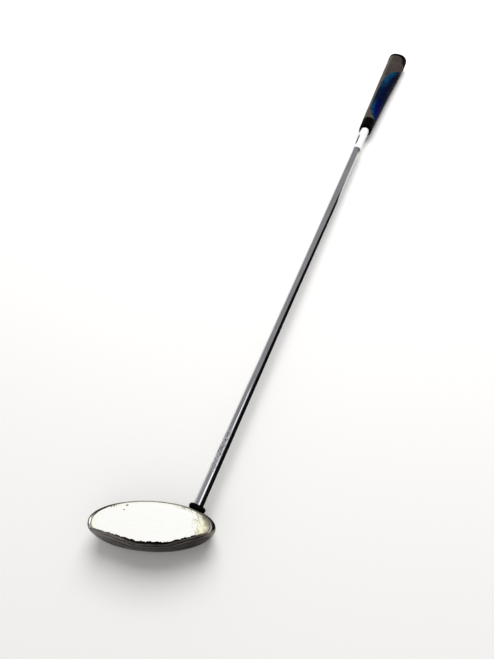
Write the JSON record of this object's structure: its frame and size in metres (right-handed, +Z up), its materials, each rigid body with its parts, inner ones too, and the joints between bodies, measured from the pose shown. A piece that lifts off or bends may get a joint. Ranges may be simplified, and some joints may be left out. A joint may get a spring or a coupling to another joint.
{
  "type": "golf putter",
  "caption": "Right-handed golf putter with a white almond face in a cast head, a ferrule ring, a tapered steel shaft and a rubber pistol grip, lying face up.",
  "frame": {"origin": "centre of the footprint on the surface that the putter lies on, face up", "axes": "+Y runs up the shaft from the head to the butt, +X points from toe to heel, +Z is up, the way the face looks"},
  "size_m": [0.1032, 0.931, 0.0331],
  "materials": {
    "head_metal": "satin cast metal, worn along the rim",
    "face_white": "white enamel fill, scuffed and chipped along its lower edge",
    "ferrule_black": "smooth satin rubber",
    "shaft_chrome": "bright chrome plate on steel",
    "plug_plastic": "moulded plug",
    "label_paper": "coated paper, bare",
    "grip_tape": "double-sided masking tape",
    "grip_taupe": "matt moulded rubber",
    "grip_blue": "matt moulded rubber, royal blue to teal",
    "grip_black": "matt moulded rubber"
  },
  "bodies": {
    "root": {"head_body": "head_metal", "face_enamel": "face_white", "ferrule": "ferrule_black", "shaft": "shaft_chrome", "shaft_tip_plug": "plug_plastic", "shaft_label": "label_paper", "grip_tape": "grip_tape", "grip_sleeve": "grip_taupe", "grip_panel": "grip_blue", "grip_collar": "grip_black", "grip_end_cap": "grip_black"}
  },
  "joints": []
}
